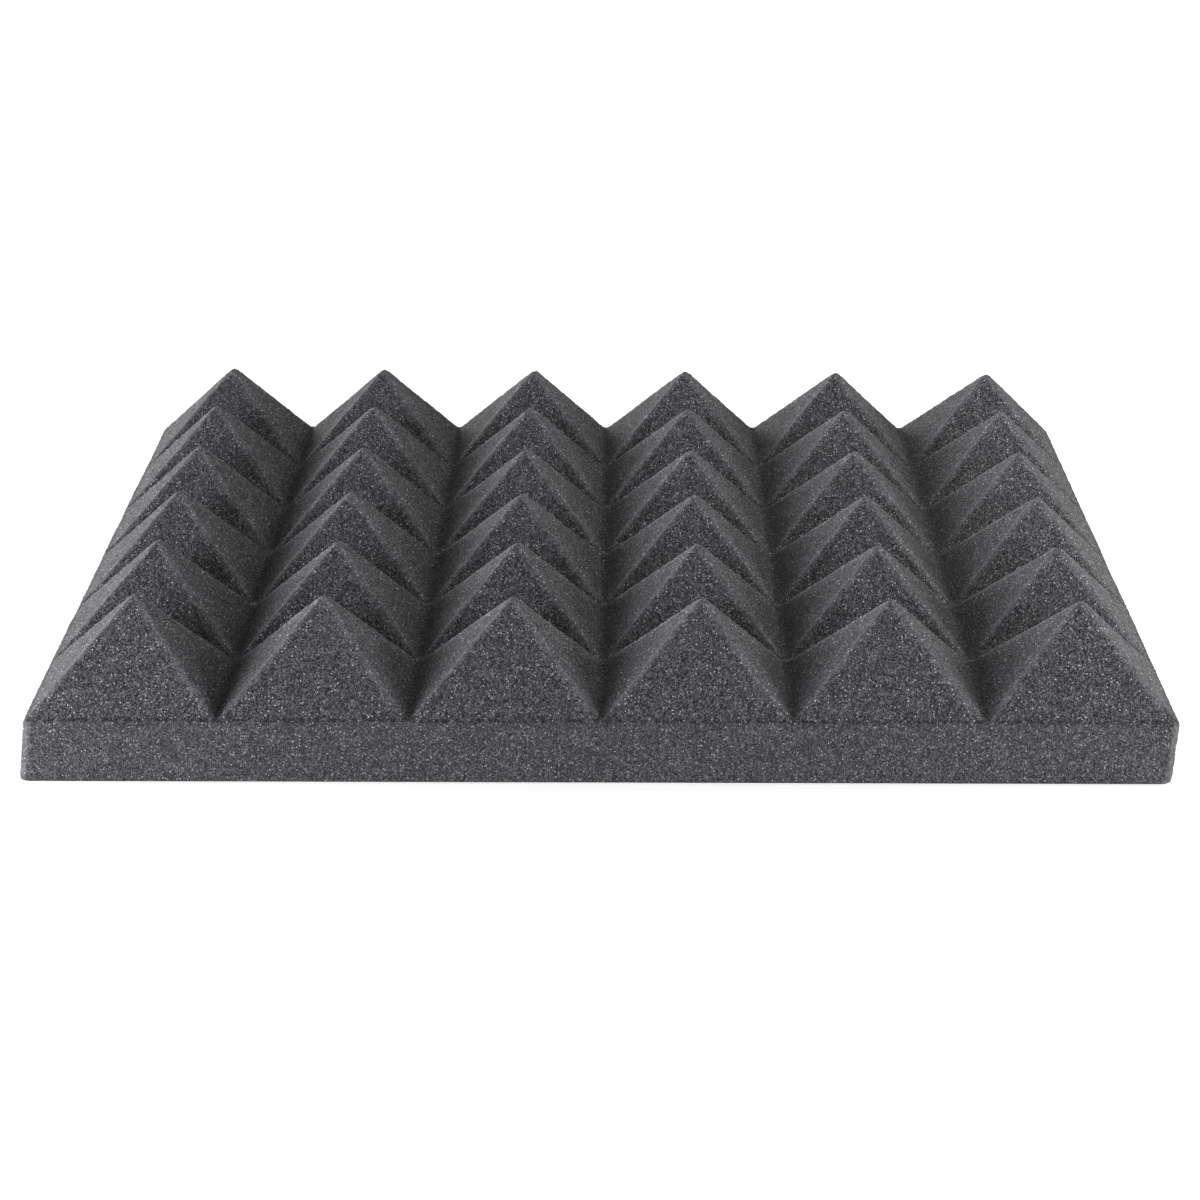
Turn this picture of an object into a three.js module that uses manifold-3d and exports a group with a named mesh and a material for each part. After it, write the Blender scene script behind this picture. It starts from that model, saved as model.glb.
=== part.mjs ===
// Acoustic foam panel: one square tile of charcoal open-cell polyurethane foam, cut whole out of a block.
// A flat slab carries a square grid of pyramids that break up sound, and its flat back is glued to a wall.
// Millimetres, +Z up. The origin is the centre of the flat back, which lies on z = 0 with the tips upwards.

import * as THREE from 'three';
import { mergeVertices } from 'three/addons/utils/BufferGeometryUtils.js';
import Module from 'manifold-3d';

// The grid. The outermost valleys run along the tile's edges, so that tiles butt together without a step.
const pyramidPitch = 50;
const pyramidsPerSide = 6;

// The slab behind the pyramids, measured from the flat back to the floor of the valleys.
const slabThickness = 17.5;
const slabCornerRadius = 2;
const slabEdgeRadius = 0.7;

// One pyramid. Its height is measured from the valley floor to the top of the blunt tip, and the valley is
// the narrow flat floor that the cutter leaves between the feet of two neighbours.
const pyramidHeight = 25.6;
const valleyWidth = 2;
const tipRadius = 2;
const hipRadius = 1.3;

// How far a pyramid's root reaches down into the slab that it is one with.
const rootDepth = 6;

// How finely the round parts are faceted. An arc of an outline is drawn in two steps for each division.
const cornerDivisions = 1;
const edgeSteps = 2;
const tipRings = 2;

// A tip's outline, as a share of its half width that is rounded off at each hip.
const tipRoundingShare = 0.8;

// The foam: dyed-through charcoal grey, dull, with no shine of its own.
const foam = { color: 0x4a4b4e, roughness: 0.95, metalness: 0 };

const panelSide = pyramidPitch * pyramidsPerSide;
const footHalf = (pyramidPitch - valleyWidth) / 2;

const wasm = await Module();
wasm.setup();

// A square centred on the axis, with its corners rounded by arcs.
function roundedSquare(halfWidth, radius) {
  const straight = halfWidth - radius;
  const quarter = Math.PI / 2;
  const outline = new THREE.Shape();
  [[1, 1], [-1, 1], [-1, -1], [1, -1]].forEach(([x, y], corner) => {
    outline.absarc(x * straight, y * straight, radius, corner * quarter, (corner + 1) * quarter);
  });
  return outline;
}

// The slope of a flank, from the tile's plane, that leaves the foot and runs tangent into the round tip.
// The foot, the tip's top and its radius are given, so the angle solves
// footHalf sin(a) - (pyramidHeight - tipRadius) cos(a) = tipRadius.
function flankSlope() {
  const toTipCentre = pyramidHeight - tipRadius;
  return Math.atan2(toTipCentre, footHalf) + Math.asin(tipRadius / Math.hypot(footHalf, toTipCentre));
}

// The square sections of one pyramid from its root in the slab to the last ring below the top of its tip.
function pyramidSections() {
  const slope = flankSlope();
  const sections = [
    { height: -rootDepth, halfWidth: footHalf, radius: hipRadius },
    { height: 0, halfWidth: footHalf, radius: hipRadius },
  ];
  for (let ring = 0; ring < tipRings; ring++) {
    const angle = slope * (1 - ring / tipRings);
    const halfWidth = tipRadius * Math.sin(angle);
    sections.push({
      height: pyramidHeight - tipRadius * (1 - Math.cos(angle)),
      halfWidth,
      radius: Math.min(hipRadius, tipRoundingShare * halfWidth),
    });
  }
  return sections;
}

// A closed skin over the sections, flat underneath and drawn together to one point at the top.
function loft(sections, top) {
  const rings = sections.map(({ height, halfWidth, radius }) =>
    roundedSquare(halfWidth, radius).extractPoints(cornerDivisions).shape
      .map((point) => new THREE.Vector3(point.x, point.y, height)));
  const around = rings[0].length;
  const points = [...rings.flat(), new THREE.Vector3(0, 0, sections[0].height), new THREE.Vector3(0, 0, top)];
  const underside = rings.length * around;
  const summit = underside + 1;
  const faces = [];
  for (let side = 0; side < around; side++) {
    const next = (side + 1) % around;
    faces.push(underside, next, side);
    for (let low = 0; low < rings.length - 1; low++) {
      const a = low * around;
      const b = a + around;
      faces.push(a + side, a + next, b + next, a + side, b + next, b + side);
    }
    const last = (rings.length - 1) * around;
    faces.push(last + side, last + next, summit);
  }
  const skin = new THREE.BufferGeometry().setFromPoints(points);
  skin.setIndex(faces);
  return skin;
}

// The slab lies flat on its back, with all its edges slightly rounded.
function slabGeometry() {
  const slab = new THREE.ExtrudeGeometry(
    roundedSquare(panelSide / 2 - slabEdgeRadius, slabCornerRadius - slabEdgeRadius),
    {
      depth: slabThickness - 2 * slabEdgeRadius,
      bevelThickness: slabEdgeRadius,
      bevelSize: slabEdgeRadius,
      bevelSegments: edgeSteps,
      curveSegments: cornerDivisions,
    },
  );
  return slab.translate(0, 0, slabEdgeRadius);
}

// Turns a closed geometry into a solid that can be joined to others.
function solid(geometry) {
  const bare = geometry.clone();
  bare.deleteAttribute('normal');
  bare.deleteAttribute('uv');
  const merged = mergeVertices(bare);
  return new wasm.Manifold(new wasm.Mesh({
    numProp: 3,
    vertProperties: new Float32Array(merged.attributes.position.array),
    triVerts: new Uint32Array(merged.index.array),
  }));
}

function geometryOf(body) {
  const mesh = body.getMesh();
  const geometry = new THREE.BufferGeometry();
  geometry.setAttribute('position', new THREE.BufferAttribute(mesh.vertProperties, 3));
  geometry.setIndex(new THREE.BufferAttribute(mesh.triVerts, 1));
  geometry.computeVertexNormals();
  return geometry;
}

// One pyramid stands in each square of the grid, and all are one body with the slab.
function foamPanel() {
  const pyramid = loft(pyramidSections(), pyramidHeight);
  let body = solid(slabGeometry());
  for (let row = 0; row < pyramidsPerSide; row++) {
    for (let column = 0; column < pyramidsPerSide; column++) {
      const x = (column + 0.5) * pyramidPitch - panelSide / 2;
      const y = (row + 0.5) * pyramidPitch - panelSide / 2;
      body = body.add(solid(pyramid.clone().translate(x, y, slabThickness)));
    }
  }
  const mesh = new THREE.Mesh(geometryOf(body), new THREE.MeshStandardMaterial(foam));
  mesh.name = 'foam_panel';
  return mesh;
}

const group = new THREE.Group();
group.add(foamPanel());

export default group;
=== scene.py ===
import math

import bpy
import numpy as np
from mathutils import Matrix, Vector


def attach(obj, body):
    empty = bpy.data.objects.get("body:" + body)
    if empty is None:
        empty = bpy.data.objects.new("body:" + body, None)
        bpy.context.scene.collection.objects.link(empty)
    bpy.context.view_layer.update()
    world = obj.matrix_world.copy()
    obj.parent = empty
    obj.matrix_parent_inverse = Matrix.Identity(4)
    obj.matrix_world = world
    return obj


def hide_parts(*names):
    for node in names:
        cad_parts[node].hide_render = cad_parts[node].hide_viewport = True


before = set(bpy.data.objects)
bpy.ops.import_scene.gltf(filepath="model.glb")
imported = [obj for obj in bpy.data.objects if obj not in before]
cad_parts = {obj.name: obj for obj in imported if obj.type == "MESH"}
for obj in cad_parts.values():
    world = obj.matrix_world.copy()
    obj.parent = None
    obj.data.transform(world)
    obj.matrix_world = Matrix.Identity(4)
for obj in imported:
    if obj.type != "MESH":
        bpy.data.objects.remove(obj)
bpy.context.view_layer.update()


# The camera. A long lens a metre in front of the tile and a little above it looks down on the middle of the
# front row, turned and tilted by the fractions of a degree at which the tile was photographed.
CAMERA_PLACE = Vector((0.0039, -1.0017, 0.3204))
CAMERA_TURN, CAMERA_DIP, CAMERA_TILT = math.radians(-0.289), math.radians(17.592), math.radians(0.068)
LENS_MM, SENSOR_MM = 104.4, 36.0
NEAREST, FARTHEST = 0.01, 50

look = Vector((math.sin(CAMERA_TURN) * math.cos(CAMERA_DIP), math.cos(CAMERA_TURN) * math.cos(CAMERA_DIP),
               -math.sin(CAMERA_DIP)))
level_right = Vector((math.cos(CAMERA_TURN), -math.sin(CAMERA_TURN), 0))
level_up = level_right.cross(look)
right = level_right * math.cos(CAMERA_TILT) + level_up * math.sin(CAMERA_TILT)
up = level_up * math.cos(CAMERA_TILT) - level_right * math.sin(CAMERA_TILT)

lens = bpy.data.cameras.new("camera")
lens.sensor_width = SENSOR_MM
lens.lens = LENS_MM
lens.clip_start, lens.clip_end = NEAREST, FARTHEST
camera = bpy.data.objects.new("camera", lens)
camera.matrix_world = Matrix((right, up, -look)).transposed().to_4x4()
camera.location = CAMERA_PLACE
bpy.context.scene.collection.objects.link(camera)
bpy.context.scene.camera = camera


# The foam tile. One piece of charcoal open-cell polyurethane foam: a flat slab with a square grid of blunt
# pyramids, cut whole out of a block by a shaped wire. The cut runs a little askew, so that the slab's sides and
# the pyramids lean to the side by a millimetre or two, and it opens the foam's cells all over the surface.
TILE = {
    "Pyramids": 6,
    "Pitch": 0.050,
    "Slab": 0.0175,
    "Height": 0.0256,
    "Valley": 0.0013,
    "Tip Softness": 0.0022,
    "Hip Softness": 0.0018,
    "Valley Softness": 0.0006,
    "Corner Radius": 0.0020,
    "Edge Radius": 0.0009,
    "Rim Radius": 0.0015,
    "Overhang": 0.00055,
    "Tip Lean": 0.00155,
    "Foot Lean": 0.00168,
    "Tip Fall": 0.00086,
    "Wander": 0.0005,
    "Wander Size": 0.030,
    "Torn Cells": 0.00052,
    "Torn Cell Size": 0.0008,
    "Flat Foot": 0.003,
    # The mesh: squares along a pyramid's side, on the skin and on the back, and the band between the two.
    "Steps": 84,
    "Back Steps": 6,
    "Back Band": 0.0085,
}

# The foam's shades, from a pore's floor to the palest strut, and a slight blue that all of them share. A strut's
# shade stands beside the chance at which it comes.
FOAM_TINT = (1.0, 1.025, 1.10)
PORE_SHADES = (0.003, 0.022)
STRUT_SHADES = {0.0: 0.008, 0.30: 0.058, 0.75: 0.153, 0.94: 0.226, 1.0: 0.36}
# The shade of the painted glints, the shade of the painted highlight on hips, tips and corners, and the calmer shade
# of the slab's sliced sides.
PAINTED_GLINT_SHADE, PAINTED_EDGE_LIGHT_SHADE, SLICED_SHADE = 0.85, 0.16, 0.084

# Its cells and what is made of them: sizes in metres, the squeeze along each axis, and where a fade starts and
# ends, as a share of the size, or of the noise for the clumps.
CELL_SIZE, CELL_SQUEEZE, STRUT_FADE = 0.00034, (1.1, 0.7, 0.82), (0.22, 0.62)
CLUMP_SIZE, CLUMP_DEPTH, CLUMP_FADE = 0.0012, 0.13, (0.30, 0.70)
GLINT_SPACING, GLINT_SQUEEZE, GLINT_FADE, GLINT_SHARE = 0.0009, (1, 0.5, 1), (0.20, 0.11), 0.48
RELIEF_STRENGTH, RELIEF_DEPTH = 0.7, 0.00015

# How strongly the places that differ show, over what distance in metres each of them fades, and the noise that makes
# the painted highlight on hips, tips and corners ragged and breaks the painted shade line of the crease.
SLICED_CALM, SLICED_FADE = 0.20, (0.0008, -0.0008)
PAINTED_EDGE_LIGHT, PAINTED_EDGE_LIGHT_DRIFT = 0.30, 0.0006
HIP_FADE, HIP_FOOT_FADE = (0.0026, 0.0003), (0.0, 0.004)
CORNER_FADE, CORNER_TOP_FADE = (0.0020, 0.0010), (0.001, -0.001)
CREASE_PAINTED_SHADE, CREASE_FADE, CREASE_BREAKS = 0.60, (0.0005, 0.0001), (0.40, 0.60)
RAGGED_SCALE, RAGGED_REACH = 700.0, 0.004


def add(tree, kind, inputs=(), **settings):
    """One node of a tree. An input takes either a value or another node's socket."""
    made = tree.nodes.new(kind)
    for name, value in settings.items():
        setattr(made, name, value)
    for socket, value in dict(inputs).items():
        if isinstance(value, bpy.types.NodeSocket):
            tree.links.new(value, made.inputs[socket])
        else:
            made.inputs[socket].default_value = value
    return made


def maths(tree, operation, *values):
    return add(tree, "ShaderNodeMath", enumerate(values), operation=operation).outputs[0]


def vectors(tree, operation, *values):
    made = add(tree, "ShaderNodeVectorMath", enumerate(values), operation=operation)
    return made.outputs["Value" if operation in ("LENGTH", "DOT_PRODUCT") else "Vector"]


def scaled(tree, vector, factor):
    return add(tree, "ShaderNodeVectorMath", {0: vector, "Scale": factor}, operation="SCALE").outputs[0]


def blend(tree, factor, under, over):
    """Mixes two colours. A Mix node has its colours at the inputs 6 and 7 and at the output 2."""
    return add(tree, "ShaderNodeMix", {"Factor": factor, 6: under, 7: over},
               data_type="RGBA", blend_type="MIX").outputs[2]


def tile_tree():
    """The Geometry Nodes tree that cuts the tile. Its inputs have TILE's names."""
    tree = bpy.data.node_groups.new("foam tile", "GeometryNodeTree")
    tree.is_modifier = True
    tree.interface.new_socket("Tile", in_out="OUTPUT", socket_type="NodeSocketGeometry")
    for name, value in TILE.items():
        kind = "NodeSocketInt" if isinstance(value, int) else "NodeSocketFloat"
        tree.interface.new_socket(name, in_out="INPUT", socket_type=kind).default_value = value
    tree.interface.new_socket("Foam", in_out="INPUT", socket_type="NodeSocketMaterial")
    size = tree.nodes.new("NodeGroupInput").outputs

    def m(operation, *values):
        return maths(tree, operation, *values)

    def v(operation, *values):
        return vectors(tree, operation, *values)

    def xyz(x=0.0, y=0.0, z=0.0):
        return add(tree, "ShaderNodeCombineXYZ", {"X": x, "Y": y, "Z": z}).outputs[0]

    half_pitch = m("DIVIDE", size["Pitch"], 2)
    side = m("MULTIPLY", size["Pitch"], size["Pyramids"])
    half_side = m("DIVIDE", side, 2)

    # The block, open underneath: a box of small squares, so many to a pyramid, whose sides have squares as small.
    steps = m("MULTIPLY", size["Steps"], size["Pyramids"])
    rows = m("ROUND", m("DIVIDE", m("MULTIPLY", size["Slab"], steps), side))
    block = add(tree, "GeometryNodeMeshCube", {
        "Size": xyz(side, side, size["Slab"]),
        "Vertices X": m("ADD", steps, 1), "Vertices Y": m("ADD", steps, 1), "Vertices Z": m("ADD", rows, 1)})
    block = add(tree, "GeometryNodeTransform", {
        "Geometry": block.outputs["Mesh"], "Translation": xyz(z=m("DIVIDE", size["Slab"], 2))})
    normal = add(tree, "GeometryNodeInputNormal").outputs["Normal"]
    downward = m("LESS_THAN", v("DOT_PRODUCT", normal, (0, 0, 1)), -0.5)
    skin = add(tree, "GeometryNodeDeleteGeometry",
               {"Geometry": block.outputs["Geometry"], "Selection": downward}, domain="FACE").outputs["Geometry"]

    # The back: large squares, and a band round them that meets the skin's rim point for point. An edge with a
    # single face is on a rim.
    inner_side = m("SUBTRACT", side, m("MULTIPLY", size["Back Band"], 2))
    squares = m("MULTIPLY", size["Pyramids"], size["Back Steps"])
    back = add(tree, "GeometryNodeMeshGrid", {
        "Size X": inner_side, "Size Y": inner_side,
        "Vertices X": m("ADD", squares, 1), "Vertices Y": m("ADD", squares, 1)}).outputs["Mesh"]
    faces_met = add(tree, "GeometryNodeInputMeshEdgeNeighbors").outputs["Face Count"]
    rim = m("LESS_THAN", faces_met, 1.5)
    rims = add(tree, "GeometryNodeJoinGeometry")
    for mesh in (back, skin):
        line = add(tree, "GeometryNodeMeshToCurve", {"Mesh": mesh, "Selection": rim}).outputs["Curve"]
        tree.links.new(line, rims.inputs[0])
    band = add(tree, "GeometryNodeFillCurve", {"Curve": rims.outputs[0]}, mode="TRIANGLES").outputs["Mesh"]
    underside = add(tree, "GeometryNodeJoinGeometry")
    for mesh in (back, band):
        tree.links.new(add(tree, "GeometryNodeFlipFaces", {"Mesh": mesh}).outputs[0], underside.inputs[0])
    whole = add(tree, "GeometryNodeJoinGeometry")
    for mesh in (underside.outputs[0], skin):
        tree.links.new(mesh, whole.inputs[0])
    whole = add(tree, "GeometryNodeMergeByDistance", {"Geometry": whole.outputs[0], "Distance": 1e-5}).outputs[0]

    # The cut. How high a point of the top rises follows from how far it is from the middle line of its pyramid.
    # The flanks aim a little past the tips' height and the cap stands a little over it, because the smooth minimum
    # of the two takes some off.
    place = add(tree, "GeometryNodeInputPosition").outputs[0]
    at = add(tree, "ShaderNodeSeparateXYZ", {0: place}).outputs
    off_x, off_y = (m("SUBTRACT", half_pitch, m("PINGPONG", m("ADD", at[axis], half_side), half_pitch))
                    for axis in ("X", "Y"))
    outward = m("SMOOTH_MAX", off_x, off_y, size["Hip Softness"])
    foot = m("SUBTRACT", half_pitch, m("DIVIDE", size["Valley"], 2))
    slope = m("DIVIDE", m("ADD", size["Height"], m("DIVIDE", size["Tip Softness"], 3)), foot)
    flank = m("MULTIPLY", m("SUBTRACT", foot, outward), slope)
    cap = m("ADD", size["Height"], m("DIVIDE", size["Tip Softness"], 12))
    rise = m("SMOOTH_MAX", m("SMOOTH_MIN", flank, cap, size["Tip Softness"]), 0.0, size["Valley Softness"])
    just_below_top = m("MULTIPLY", size["Slab"], 0.999)
    rise = m("MULTIPLY", rise, m("GREATER_THAN", at["Z"], just_below_top))

    # Rounded corners and edges: what lies outside a smaller box is drawn in from square shells to round ones.
    inner = m("SUBTRACT", half_side, size["Corner Radius"])
    held = v("MAXIMUM", v("MINIMUM", place, xyz(inner, inner, m("SUBTRACT", size["Slab"], size["Rim Radius"]))),
             xyz(m("MULTIPLY", inner, -1), m("MULTIPLY", inner, -1), size["Edge Radius"]))
    low = m("LESS_THAN", at["Z"], size["Edge Radius"])
    depth = m("ADD", m("MULTIPLY", low, size["Edge Radius"]),
              m("MULTIPLY", m("SUBTRACT", 1.0, low), size["Rim Radius"]))
    flat = xyz(1.0, 1.0, m("DIVIDE", size["Corner Radius"], depth))
    past = v("MULTIPLY", v("SUBTRACT", place, held), flat)
    parts = add(tree, "ShaderNodeSeparateXYZ", {0: v("ABSOLUTE", past)}).outputs
    shell = m("MAXIMUM", m("MAXIMUM", parts["X"], parts["Y"]), parts["Z"])
    never_zero = m("MAXIMUM", v("LENGTH", past), 1e-9)
    drawn = scaled(tree, past, m("DIVIDE", shell, never_zero))
    stretch = m("ADD", 1.0, m("DIVIDE", size["Overhang"], size["Corner Radius"]))
    rounded = v("ADD", held, v("DIVIDE", v("MULTIPLY", drawn, xyz(stretch, stretch, 1.0)), flat))

    # The lean, to the right above the valley floor and to the left below it, and the fall of the tips to the
    # right. The attribute keeps each point's place on a straight tile, which the material reads.
    share = m("DIVIDE", rise, size["Height"])
    fall = m("MULTIPLY", m("MULTIPLY", share, m("DIVIDE", at["X"], half_side)), size["Tip Fall"])
    rise = m("SUBTRACT", rise, fall)
    to_tip = m("MULTIPLY", share, size["Tip Lean"])
    to_foot = m("MULTIPLY", m("SUBTRACT", 1.0, m("DIVIDE", at["Z"], size["Slab"])), size["Foot Lean"])
    shaped = v("ADD", rounded, xyz(m("SUBTRACT", to_tip, to_foot), 0.0, rise))
    straight = v("ADD", place, xyz(z=rise))
    cut = add(tree, "GeometryNodeStoreNamedAttribute", {
        "Geometry": whole, "Name": "straight place", "Value": straight}, data_type="FLOAT_VECTOR").outputs[0]
    cut = add(tree, "GeometryNodeSetPosition", {"Geometry": cut, "Position": shaped}).outputs[0]

    # The wire wanders slowly on its way, and leaves torn cells. Neither lifts the tile off what it lies on.
    above = add(tree, "ShaderNodeMapRange", {
        "Value": at["Z"], "From Min": 0.0, "From Max": size["Flat Foot"]}).outputs["Result"]
    wander = add(tree, "ShaderNodeTexNoise", {
        "Vector": place, "Scale": m("DIVIDE", 1.0, size["Wander Size"]), "Detail": 1.0}).outputs["Color"]
    wander = scaled(tree, v("SUBTRACT", wander, (0.5, 0.5, 0.5)), m("MULTIPLY", size["Wander"], above))
    cut = add(tree, "GeometryNodeSetPosition", {"Geometry": cut, "Offset": wander}).outputs[0]
    torn = add(tree, "ShaderNodeTexNoise", {
        "Vector": place, "Scale": m("DIVIDE", 1.0, size["Torn Cell Size"]), "Detail": 2.0, "Roughness": 0.7})
    torn = m("MULTIPLY", m("SUBTRACT", torn.outputs["Fac"], 0.5), m("MULTIPLY", size["Torn Cells"], above))
    torn = scaled(tree, normal, m("MULTIPLY", torn, 2))
    cut = add(tree, "GeometryNodeSetPosition", {"Geometry": cut, "Offset": torn}).outputs[0]

    smooth = add(tree, "GeometryNodeSetShadeSmooth", {"Geometry": cut}).outputs[0]
    solid = add(tree, "GeometryNodeRealizeInstances", {"Geometry": smooth}).outputs[0]
    dressed = add(tree, "GeometryNodeSetMaterial", {"Geometry": solid, "Material": size["Foam"]}).outputs[0]
    tree.links.new(dressed, tree.nodes.new("NodeGroupOutput").inputs["Tile"])
    return tree


def foam_material():
    """Cut open-cell foam: dark pores between lighter struts, and here and there a painted glint where a torn strand
    would catch the light; its colour also holds painted highlights on hips, tips and corners and a painted shade line
    along a crease.
    """
    made = bpy.data.materials.new("charcoal foam")
    made.use_nodes = True
    tree = made.node_tree
    shader = tree.nodes["Principled BSDF"]

    def m(operation, *values):
        return maths(tree, operation, *values)

    def fade(value, start, end):
        return add(tree, "ShaderNodeMapRange", {"Value": value, "From Min": start, "From Max": end},
                   interpolation_type="SMOOTHSTEP").outputs["Result"]

    def tinted(shade):
        return [shade * part for part in FOAM_TINT] + [1]

    # The cells, as a cut through them shows them: longest from front to rear, and a little taller than wide. Each
    # has a pore in its middle and struts round it, and the shade of both is its own.
    place = add(tree, "ShaderNodeTexCoord").outputs["Object"]
    grain = vectors(tree, "MULTIPLY", place, CELL_SQUEEZE)
    cells = add(tree, "ShaderNodeTexVoronoi", {"Vector": grain, "Scale": 1 / CELL_SIZE}, feature="F1")
    strut = fade(cells.outputs["Distance"], *STRUT_FADE)
    chance = add(tree, "ShaderNodeSeparateColor", {0: cells.outputs["Color"]}).outputs
    shades = add(tree, "ShaderNodeValToRGB", {"Fac": chance[0]})
    stops = shades.color_ramp.elements
    stops[0].position, stops[1].position = min(STRUT_SHADES), max(STRUT_SHADES)
    for position in list(STRUT_SHADES)[1:-1]:
        stops.new(position)
    for stop, shade in zip(stops, STRUT_SHADES.values()):
        stop.color = tinted(shade)
    darkest, lightest = PORE_SHADES
    pore = add(tree, "ShaderNodeMapRange", {"Value": chance[1], "To Min": darkest, "To Max": lightest})
    pore = scaled(tree, FOAM_TINT, pore.outputs["Result"])
    colour = blend(tree, strut, pore, shades.outputs["Color"])

    # Clumps of a few cells are darker or lighter together.
    clumps = add(tree, "ShaderNodeTexNoise", {"Vector": grain, "Scale": 1 / CLUMP_SIZE, "Detail": 2.0}).outputs["Fac"]
    clumps = fade(clumps, *CLUMP_FADE)
    clumps = m("ADD", 1 - CLUMP_DEPTH, m("MULTIPLY", clumps, 2 * CLUMP_DEPTH))
    colour = scaled(tree, colour, clumps)

    # The slab's sides and back were sliced clean by a straight blade, so their cells stand out less than where the
    # shaped wire tore them.
    at = add(tree, "ShaderNodeSeparateXYZ", {
        0: add(tree, "ShaderNodeAttribute", attribute_name="straight place").outputs["Vector"]}).outputs
    above = m("SUBTRACT", at["Z"], TILE["Slab"])
    sliced = m("MULTIPLY", fade(above, *SLICED_FADE), SLICED_CALM)
    colour = blend(tree, sliced, colour, tinted(SLICED_SHADE))

    # Painted glints: a few small light specks painted into the colour where torn strands would catch the light, far
    # apart and thinner than a cell.
    along = vectors(tree, "MULTIPLY", place, GLINT_SQUEEZE)
    glint_specks = add(tree, "ShaderNodeTexVoronoi", {"Vector": along, "Scale": 1 / GLINT_SPACING}, feature="F1")
    lucky = add(tree, "ShaderNodeSeparateColor", {0: glint_specks.outputs["Color"]}).outputs[0]
    painted_glint = m("MULTIPLY", fade(glint_specks.outputs["Distance"], *GLINT_FADE), m("GREATER_THAN", lucky, 1 - GLINT_SHARE))
    painted_glint = m("MULTIPLY", painted_glint, m("SUBTRACT", 1.0, sliced))
    colour = blend(tree, painted_glint, colour, tinted(PAINTED_GLINT_SHADE))

    # Where on the tile: a painted highlight lightens the hips, tips and upright corners, where the foam's fuzz would
    # catch the light, and a painted shade line, with breaks in it, darkens where the pyramids' cut meets the slab's
    # side.
    half, side = TILE["Pitch"] / 2, TILE["Pitch"] * TILE["Pyramids"]
    off_x, off_y = (m("SUBTRACT", half, m("PINGPONG", m("ADD", at[axis], side / 2 + drift), half))
                    for axis, drift in (("X", PAINTED_EDGE_LIGHT_DRIFT), ("Y", 0)))
    ragged = add(tree, "ShaderNodeTexNoise", {"Vector": place, "Scale": RAGGED_SCALE, "Detail": 1.0}).outputs["Fac"]
    from_hip = m("ADD", m("ABSOLUTE", m("SUBTRACT", off_x, off_y)),
                 m("MULTIPLY", m("SUBTRACT", ragged, 0.5), RAGGED_REACH))
    hip = m("MULTIPLY", fade(from_hip, *HIP_FADE), fade(above, *HIP_FOOT_FADE))
    inside = m("SUBTRACT", side / 2, m("MINIMUM", m("ABSOLUTE", at["X"]), m("ABSOLUTE", at["Y"])))
    corner = m("MULTIPLY", fade(inside, *CORNER_FADE), fade(above, *CORNER_TOP_FADE))
    # Painted shade: a dark line, broken by the noise, painted along the crease where the pyramids' cut meets the
    # slab's side.
    painted_crease_shade = m("MULTIPLY", fade(m("ABSOLUTE", above), *CREASE_FADE), fade(ragged, *CREASE_BREAKS))
    painted_edge_light = m("MULTIPLY", m("MAXIMUM", hip, corner), PAINTED_EDGE_LIGHT)
    colour = blend(tree, painted_edge_light, colour, tinted(PAINTED_EDGE_LIGHT_SHADE))
    colour = scaled(tree, colour, m("SUBTRACT", m("ADD", 1.0, painted_edge_light), m("MULTIPLY", painted_crease_shade, CREASE_PAINTED_SHADE)))
    tree.links.new(colour, shader.inputs["Base Color"])

    # Dull, with the faint sheen that loose strands give foam where it turns away.
    relief = add(tree, "ShaderNodeBump", {"Height": strut, "Strength": RELIEF_STRENGTH, "Distance": RELIEF_DEPTH})
    tree.links.new(relief.outputs["Normal"], shader.inputs["Normal"])
    shader.inputs["Roughness"].default_value = 0.95
    shader.inputs["Specular IOR Level"].default_value = 0.2
    shader.inputs["Sheen Weight"].default_value = 0.16
    shader.inputs["Sheen Roughness"].default_value = 0.35
    shader.inputs["Sheen Tint"].default_value = (0.62, 0.60, 0.63, 1)
    return made


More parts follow.
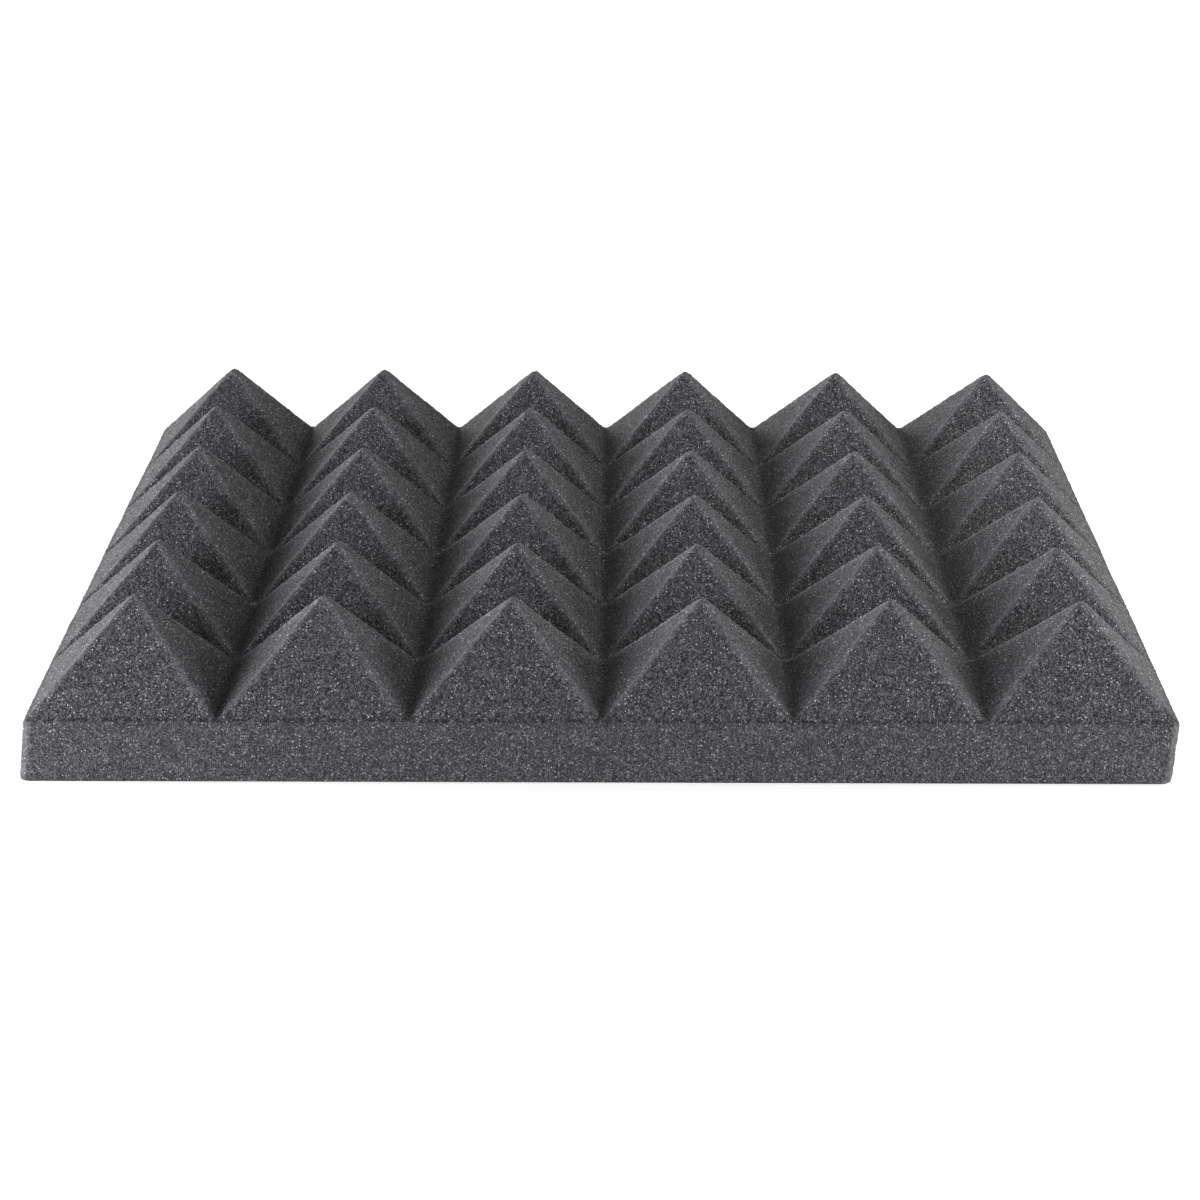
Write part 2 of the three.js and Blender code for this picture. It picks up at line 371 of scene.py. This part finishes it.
def unwrap(mesh, side, slab):
    """Lays the top, the four sides and the two halves of the back side by side on one square."""
    # Shares of the square: the top's side, a side's strip, the height kept for each half of the back, and the gap
    # round each of them. Then how much larger than its nominal side the tile may be, and how far down a face of
    # the back has to look, at least.
    top, strip, back_half, gap = 0.74, 0.043, 0.5, 0.006
    allowance, steep = 1.02, 0.7
    corner = np.zeros(len(mesh.loops), int)
    mesh.loops.foreach_get("vertex_index", corner)
    points = np.zeros(len(mesh.vertices) * 3)
    mesh.vertices.foreach_get("co", points)
    points = points.reshape(-1, 3)[corner]
    loops = np.zeros(len(mesh.polygons), int)
    mesh.polygons.foreach_get("loop_total", loops)
    facing, centre = np.zeros(len(mesh.polygons) * 3), np.zeros(len(mesh.polygons) * 3)
    mesh.polygons.foreach_get("normal", facing)
    mesh.polygons.foreach_get("center", centre)
    facing, centre = (np.repeat(values.reshape(-1, 3), loops, axis=0) for values in (facing, centre))
    x, y, z = points.T
    upright = (centre[:, 2] < slab) & (np.abs(facing[:, 2]) < steep)
    back = facing[:, 2] < -steep

    # The top first, then the front, rear, left and right sides as strips above it, and the back's halves beside it.
    half = side * allowance / 2
    scale = (top - 2 * gap) / (2 * half)
    u, w = gap + (x + half) * scale, gap + (y + half) * scale
    for row, (axis, sign) in enumerate(((1, -1), (1, 1), (0, -1), (0, 1))):
        here = upright & (np.abs(facing[:, axis]) >= np.abs(facing[:, 1 - axis])) & (facing[:, axis] * sign > 0)
        along = x if axis == 1 else y
        u = np.where(here, gap + (along + half) * scale, u)
        w = np.where(here, top + gap + row * (strip + gap) + z * scale, w)
    across, upward = (1 - top - 2 * gap) / half, (back_half - 2 * gap) / (2 * half)
    for row, sign in enumerate((-1, 1)):
        here = back & (centre[:, 0] * sign > 0)
        u = np.where(here, top + gap + x * sign * across, u)
        w = np.where(here, gap + row * back_half + (y + half) * upward, w)
    layer = mesh.uv_layers.new(name="OFBake")
    layer.data.foreach_set("uv", np.stack([u, w], 1).ravel())


maker = bpy.data.objects.new("foam_cutter", bpy.data.meshes.new("foam_cutter"))
bpy.context.scene.collection.objects.link(maker)
cutting = maker.modifiers.new("tile", "NODES")
cutting.node_group = tile_tree()
foam = foam_material()
for socket in cutting.node_group.interface.items_tree:
    if socket.in_out == "INPUT":
        cutting[socket.identifier] = foam if socket.name == "Foam" else TILE[socket.name]
mesh = bpy.data.meshes.new_from_object(maker.evaluated_get(bpy.context.evaluated_depsgraph_get()))
mesh.name = "foam_tile"
maker.modifiers.clear()
bpy.data.objects.remove(maker)
unwrap(mesh, TILE["Pitch"] * TILE["Pyramids"], TILE["Slab"])
tile = bpy.data.objects.new("foam_tile", mesh)
bpy.context.scene.collection.objects.link(tile)
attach(tile, "root")
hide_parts("foam_panel")


# The studio: a wide white table that fades into a white room. Three wide low lamps stand to the left, level with
# the tile, far behind it and far in front. Small ones stand behind its right end, over it and low beside it, and
# a small bright card faces each front corner.
TABLE_SIDE, TABLE_COLOUR = 8.0, (0.8, 0.8, 0.8, 1)
WHITE = (1, 1, 1, 1)

# Table and room glow white where they are seen, and the table less beside the tile, so that a shadow shows there:
# the distances from the tile's middle between which that changes, the glow beside it, and the room's light.
GLOW_FADE, GLOW_BESIDE_TILE = (0.22, 0.42), 0.70
ROOM_LIGHT = 0.06

# Each lamp's place, width and depth in metres, power in watts, and colour.
LAMP_AIM = Vector((0, 0, 0.02))
LAMPS = {
    "left": ((-1.19, 0.00, 0.20), (0.55, 0.38), 7.2, (1.0, 0.99, 0.985)),
    "left back": ((-0.95, 1.63, 0.32), (0.85, 0.60), 31.0, (1.0, 0.99, 0.985)),
    "front left": ((-0.95, -1.75, 0.34), (0.80, 0.50), 12.8, (1.0, 1.0, 1.0)),
    "back right": ((0.35, 0.50, 0.35), (0.25, 0.25), 1.08, (1.0, 0.98, 0.96)),
    "over right": ((0.26, 0.02, 0.32), (0.16, 0.16), 0.32, (1.0, 0.98, 0.96)),
    "right low": ((0.42, -0.10, 0.12), (0.22, 0.22), 0.88, (1.0, 0.97, 0.93)),
    "right card": ((0.31, -0.41, 0.06), (0.12, 0.12), 0.59, (1.0, 0.99, 0.985)),
    "left card": ((-0.30, -0.30, 0.07), (0.12, 0.12), 0.48, (1.0, 0.99, 0.985)),
}


def background_seen(tree):
    """1 for the rays that show the background, straight, mirrored or through glass, and 0 for the rest."""
    path = add(tree, "ShaderNodeLightPath").outputs
    return maths(tree, "MAXIMUM", maths(tree, "MAXIMUM", path["Is Camera Ray"], path["Is Glossy Ray"]),
                 path["Is Transmission Ray"])


table = bpy.data.meshes.new("table_top")
reach = TABLE_SIDE / 2
table.from_pydata([(-reach, -reach, 0), (reach, -reach, 0), (reach, reach, 0), (-reach, reach, 0)], [],
                  [(0, 1, 2, 3)])
white = bpy.data.materials.new("white table")
white.use_nodes = True
tree = white.node_tree
paint = tree.nodes["Principled BSDF"]
paint.inputs["Base Color"].default_value = TABLE_COLOUR
paint.inputs["Roughness"].default_value = 1.0
paint.inputs["Specular IOR Level"].default_value = 0.0
paint.inputs["Emission Color"].default_value = WHITE
seen = background_seen(tree)
away = vectors(tree, "LENGTH", add(tree, "ShaderNodeTexCoord").outputs["Object"])
glow = add(tree, "ShaderNodeMapRange", {
    "Value": away, "From Min": GLOW_FADE[0], "From Max": GLOW_FADE[1], "To Min": GLOW_BESIDE_TILE, "To Max": 1.0},
    interpolation_type="SMOOTHSTEP").outputs["Result"]
tree.links.new(maths(tree, "MULTIPLY", seen, glow), paint.inputs["Emission Strength"])
table.materials.append(white)
table_top = bpy.data.objects.new("table_top", table)
bpy.context.scene.collection.objects.link(table_top)

room = bpy.data.worlds.new("room")
bpy.context.scene.world = room
room.use_nodes = True
tree = room.node_tree
walls = tree.nodes["Background"]
strength = add(tree, "ShaderNodeMapRange", {
    "Value": background_seen(tree), "To Min": ROOM_LIGHT, "To Max": 1.0}).outputs["Result"]
walls.inputs["Color"].default_value = WHITE
tree.links.new(strength, walls.inputs["Strength"])

for name, (place, (width, depth), power, colour) in LAMPS.items():
    light = bpy.data.lights.new(name, "AREA")
    light.shape, light.size, light.size_y = "RECTANGLE", width, depth
    light.energy, light.color = power, colour
    lamp = bpy.data.objects.new(name, light)
    lamp.location = place
    lamp.rotation_euler = (LAMP_AIM - Vector(place)).to_track_quat("-Z", "Y").to_euler()
    bpy.context.scene.collection.objects.link(lamp)

bpy.context.scene.view_settings.view_transform = "Standard"
